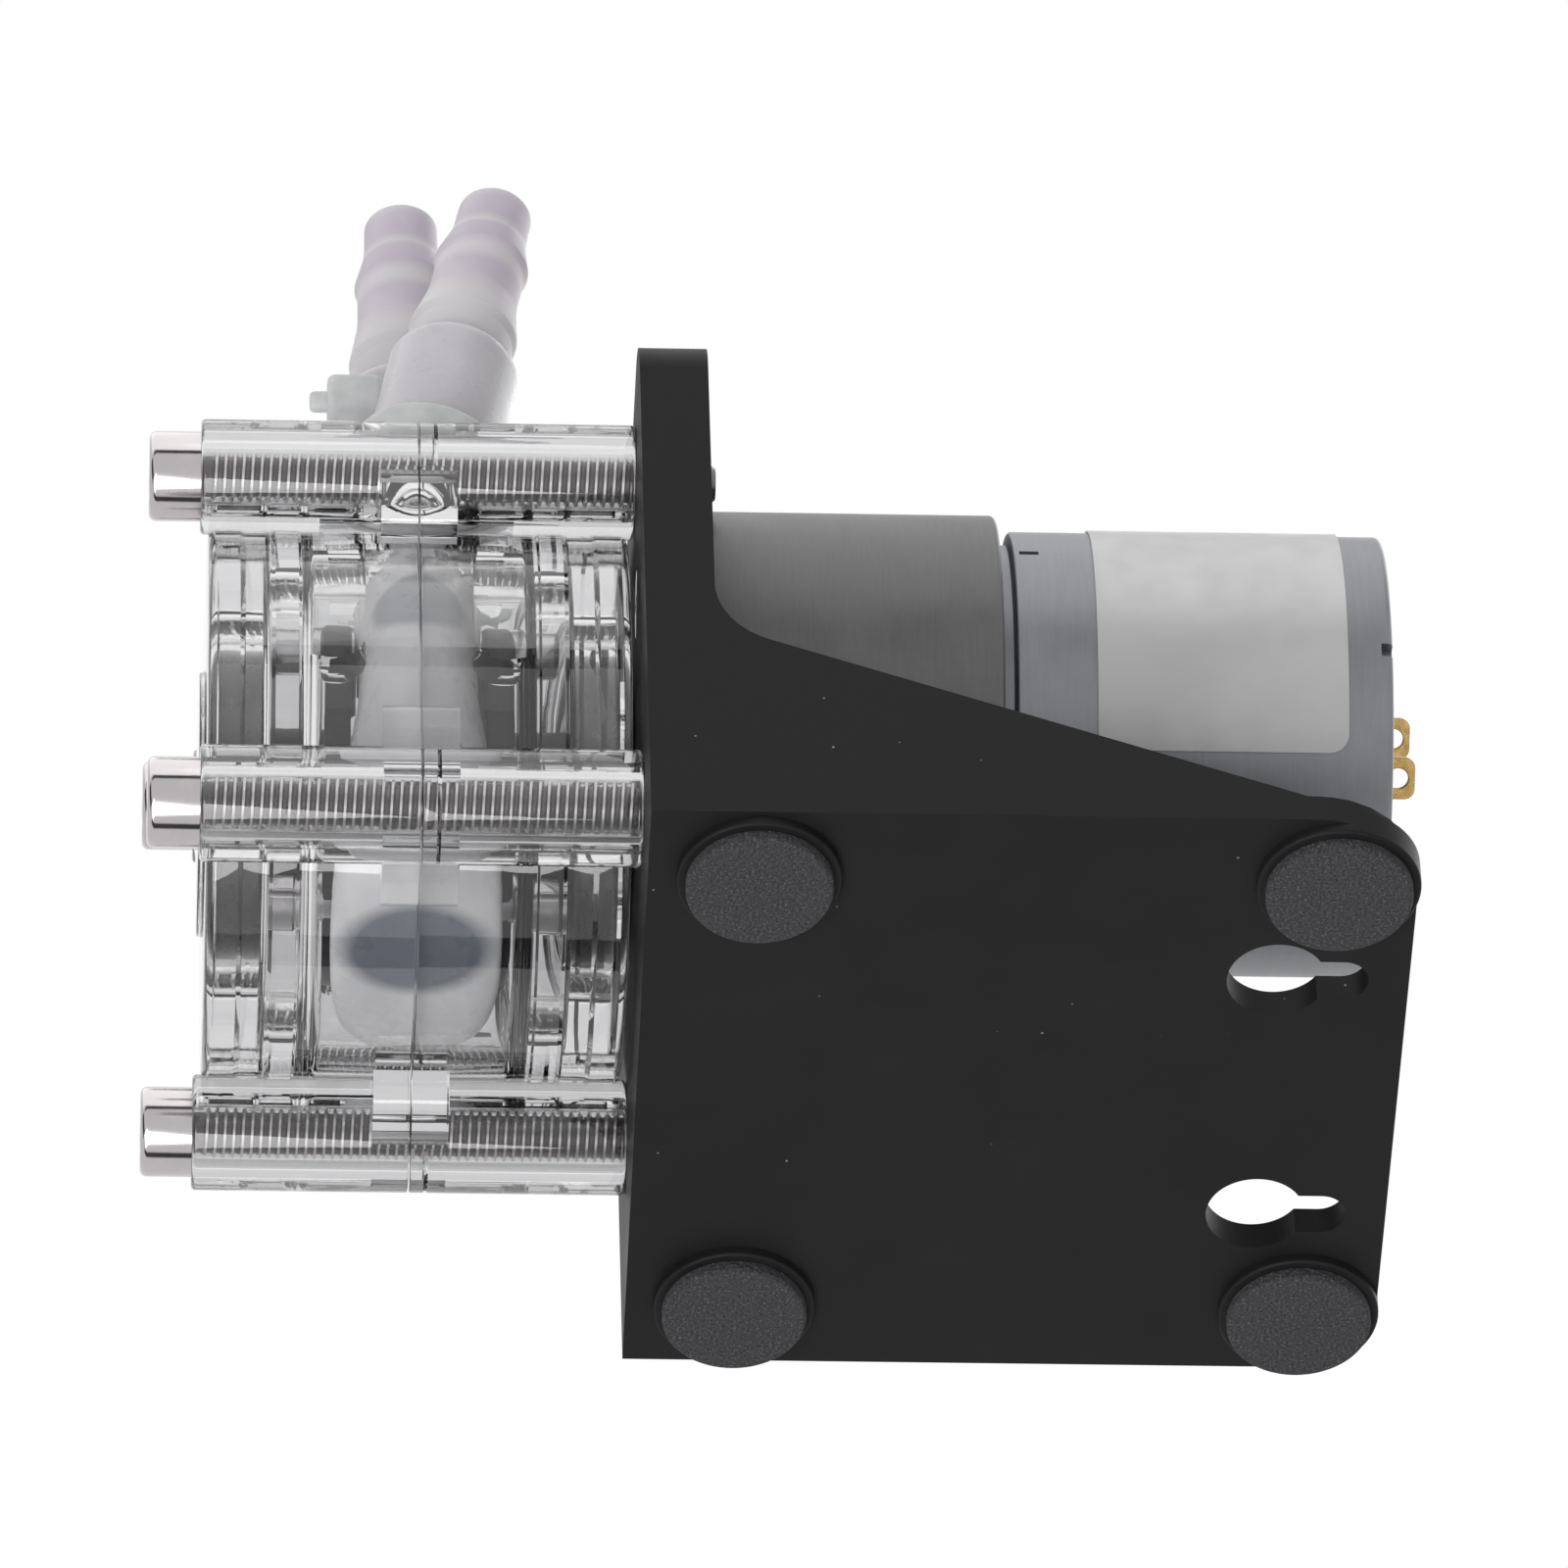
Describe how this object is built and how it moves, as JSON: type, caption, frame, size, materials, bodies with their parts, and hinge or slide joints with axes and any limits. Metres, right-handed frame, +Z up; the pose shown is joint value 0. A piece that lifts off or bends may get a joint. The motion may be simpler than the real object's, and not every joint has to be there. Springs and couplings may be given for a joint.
{
  "type": "peristaltic pump",
  "caption": "Peristaltic dosing pump: clear roller head with a silicone tube, a geared DC motor and a black moulded bracket with foam feet and wall keyholes.",
  "frame": {"origin": "on the plane of the four foot pads, midway across the width and midway along the length", "axes": "+Z up from the feet, -Y towards the clear pump head, +Y towards the motor terminals, +X to the right seen from the head"},
  "size_m": [0.06, 0.0996, 0.1044],
  "materials": {
    "black_plastic": "satin moulded black",
    "foam_pad": "matt closed-cell foam",
    "clear_polycarbonate": "clear moulded polycarbonate",
    "plated_steel": "bright plated",
    "bearing_steel": "ground",
    "white_nylon": "natural white",
    "silicone": "translucent white",
    "joiner_plastic": "translucent, faint mauve",
    "gearbox_metal": "dull grey metal",
    "motor_steel": "zinc plated",
    "brass": "stamped brass",
    "silver_label": "blank satin film"
  },
  "bodies": {
    "pump": {"bracket": "black_plastic", "foot_pad_front_left": "foam_pad", "foot_pad_front_right": "foam_pad", "foot_pad_rear_left": "foam_pad", "foot_pad_rear_right": "foam_pad", "head_front_half": "clear_polycarbonate", "head_rear_half": "clear_polycarbonate", "head_screw_top_left": "plated_steel", "head_screw_top_right": "plated_steel", "head_screw_bottom_left": "plated_steel", "head_screw_bottom_right": "plated_steel", "nut_top_left": "plated_steel", "nut_top_right": "plated_steel", "nut_bottom_left": "plated_steel", "nut_bottom_right": "plated_steel", "motor_screw_1": "plated_steel", "motor_screw_2": "plated_steel", "motor_screw_3": "plated_steel", "motor_screw_4": "plated_steel", "rotor_bearing_front": "bearing_steel", "rotor_bearing_rear": "bearing_steel", "cable_tie_left": "white_nylon", "cable_tie_right": "white_nylon", "pump_tube": "silicone", "tube_joiner_left": "joiner_plastic", "tube_joiner_right": "joiner_plastic", "gearbox_housing": "gearbox_metal", "motor_can": "motor_steel", "motor_end_cap": "motor_steel", "terminal_positive": "brass", "terminal_negative": "brass", "motor_label": "silver_label"},
    "rotor": {"rotor_carrier": "black_plastic", "rotor_front_plate": "black_plastic", "output_shaft": "plated_steel", "roller_axle_1": "plated_steel", "roller_axle_2": "plated_steel", "roller_axle_3": "plated_steel"},
    "roller_1_body": {"roller_1": "white_nylon"},
    "roller_2_body": {"roller_2": "white_nylon"},
    "roller_3_body": {"roller_3": "white_nylon"}
  },
  "joints": [
    {"name": "rotor_spin", "type": "hinge", "parent": "pump", "child": "rotor", "pos_m": [0, -0.02895, 0.0323], "axis": [0, 1, 0], "continuous": true, "deforming": ["pump_tube"]},
    {"name": "roller_1_spin", "type": "hinge", "parent": "rotor", "child": "roller_1_body", "pos_m": [0.00913, -0.02895, 0.04024], "axis": [0, 1, 0], "continuous": true, "deforming": ["pump_tube"]},
    {"name": "roller_2_spin", "type": "hinge", "parent": "rotor", "child": "roller_2_body", "pos_m": [-0.01144, -0.02895, 0.03624], "axis": [0, 1, 0], "continuous": true, "deforming": ["pump_tube"]},
    {"name": "roller_3_spin", "type": "hinge", "parent": "rotor", "child": "roller_3_body", "pos_m": [0.00231, -0.02895, 0.02042], "axis": [0, 1, 0], "continuous": true, "deforming": ["pump_tube"]}
  ],
  "couplings": [
    {"joint": "roller_1_spin", "follows": "rotor_spin", "ratio": -4.1026},
    {"joint": "roller_2_spin", "follows": "rotor_spin", "ratio": -4.1026},
    {"joint": "roller_3_spin", "follows": "rotor_spin", "ratio": -4.1026}
  ]
}
